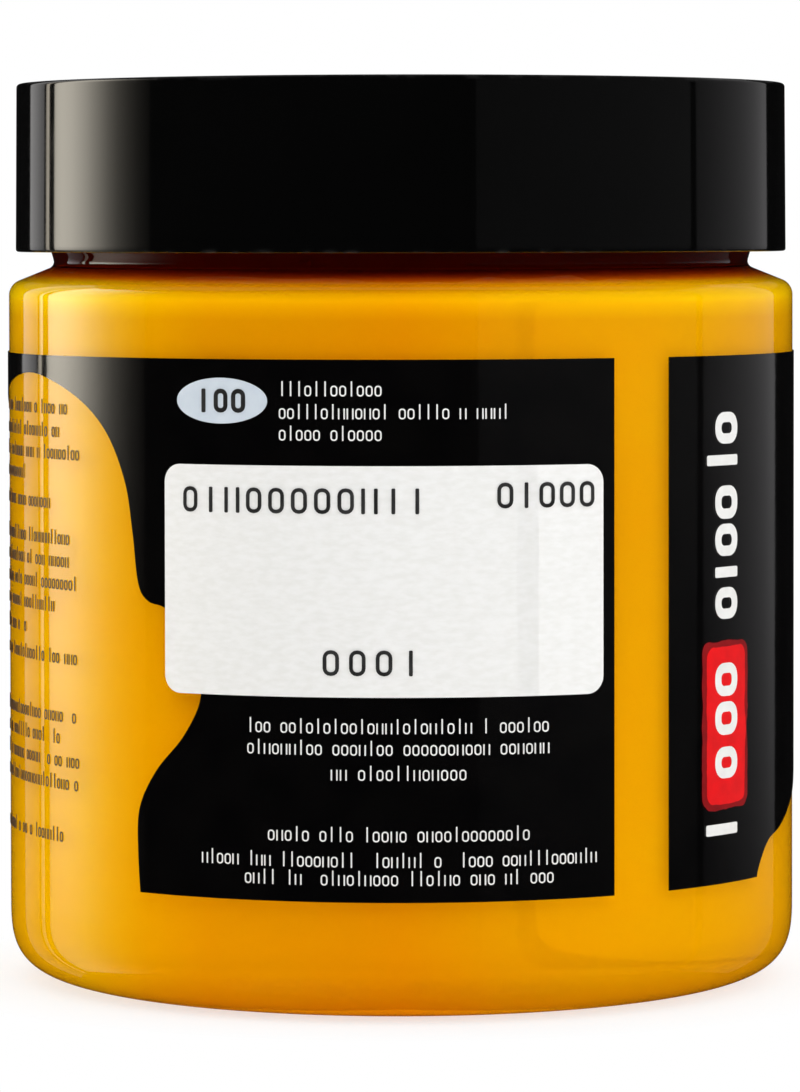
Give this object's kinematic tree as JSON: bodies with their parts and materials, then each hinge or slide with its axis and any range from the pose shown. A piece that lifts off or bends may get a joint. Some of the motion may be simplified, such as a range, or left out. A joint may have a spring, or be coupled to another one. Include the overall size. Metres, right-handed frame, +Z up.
{
  "type": "paint jar",
  "caption": "Round clear screw-top jar of artist's paint with a black cap, foam wad, wrap-round printed label and batch sticker.",
  "frame": {"origin": "middle of the ring that the jar stands on, at table height", "axes": "+Z up along the jar's axis; -Y faces the batch sticker; +X is to the right when the sticker faces the viewer"},
  "size_m": [0.0738, 0.074, 0.0836],
  "materials": {
    "clear_shell": "clear polished",
    "ochre_paint": "wet",
    "black_film": "satin",
    "white_ink": "satin",
    "red_ink": "satin",
    "pale_ink": "satin",
    "brown_ink": "satin",
    "sticker_stock": "satin",
    "black_ink": "matte",
    "foam_wad": "matte",
    "black_cap": "polished"
  },
  "bodies": {
    "jar": {"jar": "clear_shell", "paint": "ochre_paint", "label_film": "black_film", "white_print": "white_ink", "red_dab": "red_ink", "pale_oval": "pale_ink", "window_print": "brown_ink", "batch_sticker": "sticker_stock", "batch_print": "black_ink"},
    "wad": {"cap_wad": "foam_wad"},
    "cap": {"cap": "black_cap"}
  },
  "joints": [
    {"name": "cap_rise", "type": "slide", "parent": "jar", "child": "wad", "axis": [0, 0, 1], "range_m": [0, 0.0212]},
    {"name": "cap_turn", "type": "hinge", "parent": "wad", "child": "cap", "pos_m": [0, 0, 0.0816], "axis": [0, 0, 1], "range_deg": [0, 1800]}
  ],
  "couplings": [
    {"joint": "cap_rise", "follows": "cap_turn", "m_per_rad": 0.00067375}
  ]
}
